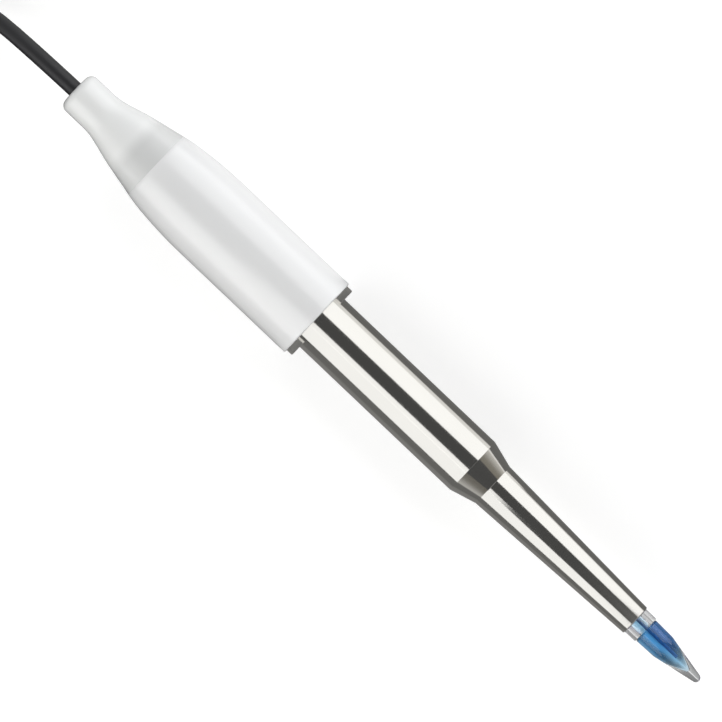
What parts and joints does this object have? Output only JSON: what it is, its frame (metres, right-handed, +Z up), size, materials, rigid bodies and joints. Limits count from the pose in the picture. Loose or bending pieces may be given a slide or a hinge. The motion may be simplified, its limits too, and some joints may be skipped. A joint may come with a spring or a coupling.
{
  "type": "ph electrode",
  "caption": "Combination pH electrode with a pointed glass tip in a polished steel body, a white handle, and its coaxial cable put away in a tied hank with a bayonet plug.",
  "frame": {"origin": "on the surface it lies on, under the middle of the electrode's length, cable and plug left out", "axes": "+X along the electrode towards the glass tip, +Z up from the surface, the handle's widest part on it"},
  "size_m": [0.2927, 0.0279, 0.0172],
  "materials": {
    "clear_glass": "polished",
    "blue_buffer": "clear blue liquid",
    "clear_plastic": "clear",
    "polished_steel": "mirror polished",
    "white_plastic": "satin",
    "milky_rubber": "satin, slightly see-through",
    "grey_plastic": "matt",
    "black_rubber": "matt",
    "silicone": "matt",
    "silver": "drawn",
    "gel": "clear gel",
    "core_insulation": "satin",
    "copper": "bare",
    "cable_jacket": "satin",
    "strap_fabric": "woven",
    "nickel": "nickel plated",
    "white_insulator": "satin",
    "gilt": "gold plated",
    "spring_steel": "polished",
    "red_gasket": "matt"
  },
  "bodies": {
    "electrode": {"glass_spear": "clear_glass", "inner_buffer": "blue_buffer", "junction_ring": "clear_plastic", "steel_body": "polished_steel", "end_ring": "polished_steel", "handle_sleeve": "white_plastic", "cable_boot": "milky_rubber", "head_plug": "grey_plastic", "handle_o_ring": "black_rubber", "measuring_wire": "silver", "stem_stopper": "silicone", "reference_wire": "silver", "reference_gel": "gel", "chamber_plug": "grey_plastic", "chamber_o_ring": "black_rubber", "core_lead": "core_insulation", "core_splice": "copper", "shield_lead": "copper", "crimp_ring": "nickel", "shield_splice": "copper", "cable_lead": "cable_jacket", "cable_hank": "cable_jacket", "cable_tail": "cable_jacket", "hank_strap": "strap_fabric", "plug_boot": "black_rubber", "crimp_ferrule": "nickel", "plug_body": "nickel", "plug_insulator": "white_insulator", "center_pin": "gilt", "plug_core": "core_insulation", "snap_ring": "spring_steel", "spring_washer": "spring_steel", "plug_gasket": "red_gasket"},
    "thrust": {"thrust_washer": "spring_steel"},
    "collar": {"bayonet_collar": "nickel"}
  },
  "joints": [
    {"name": "collar_slide", "type": "slide", "parent": "electrode", "child": "thrust", "axis": [-1, 0, 0], "range_m": [0, 0.0008], "stiffness_N_per_m": 1000, "deforming": ["spring_washer"]},
    {"name": "collar_turn", "type": "hinge", "parent": "thrust", "child": "collar", "pos_m": [-0.20765, -0.0014, 0.0072], "axis": [-1, 0, 0], "continuous": true}
  ]
}
